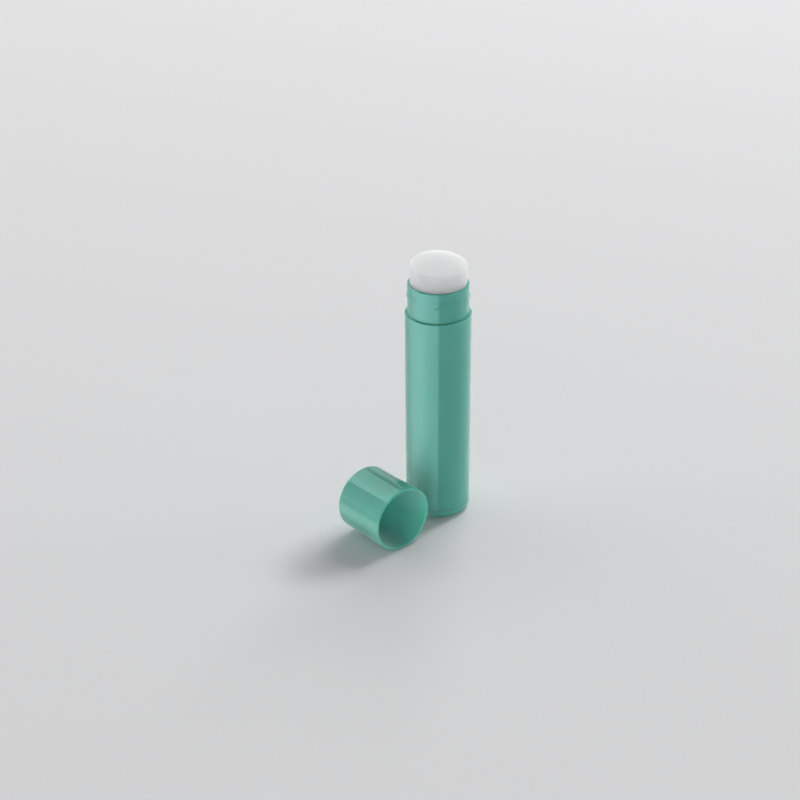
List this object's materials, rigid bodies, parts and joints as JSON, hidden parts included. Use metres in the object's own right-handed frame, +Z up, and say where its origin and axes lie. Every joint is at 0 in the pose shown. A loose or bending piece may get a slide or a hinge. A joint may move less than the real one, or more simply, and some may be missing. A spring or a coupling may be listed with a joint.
{
  "type": "lip balm stick",
  "caption": "Round twist-up lip balm stick standing open, with a left-hand screw that raises a keyed carrier and its balm, and a push-on cap lying beside it.",
  "frame": {"origin": "on the barrel's axis, in the plane of the dial's foot ring, which is the face that the stick stands on", "axes": "+Z up along the barrel; the cap lies on its side at -X with its axis along Y and its open end towards -Y"},
  "size_m": [0.0361, 0.0181, 0.066],
  "materials": {
    "mint_plastic": "satin moulded plastic",
    "natural_plastic": "uncoloured moulded plastic",
    "balm_wax": "smooth translucent wax"
  },
  "bodies": {
    "barrel": {"barrel": "mint_plastic"},
    "dial_and_screw": {"dial": "mint_plastic", "spindle": "natural_plastic"},
    "carrier_and_balm": {"carrier": "natural_plastic", "balm": "balm_wax"},
    "cap": {"cap": "mint_plastic"}
  },
  "joints": [
    {"name": "dial_turn", "type": "hinge", "parent": "barrel", "child": "dial_and_screw", "pos_m": [0, 0, 0.0024], "axis": [0, 0, 1], "range_deg": [-558, 3042]},
    {"name": "balm_rise", "type": "slide", "parent": "barrel", "child": "carrier_and_balm", "axis": [0, 0, 1], "range_m": [-0.0062, 0.0338]},
    {"name": "cap_lift", "type": "slide", "parent": "barrel", "child": "cap", "axis": [0, 0, 1], "range_m": [0, 0.04]}
  ],
  "couplings": [
    {"joint": "dial_turn", "follows": "balm_rise", "rad_per_m": 1570.8}
  ]
}
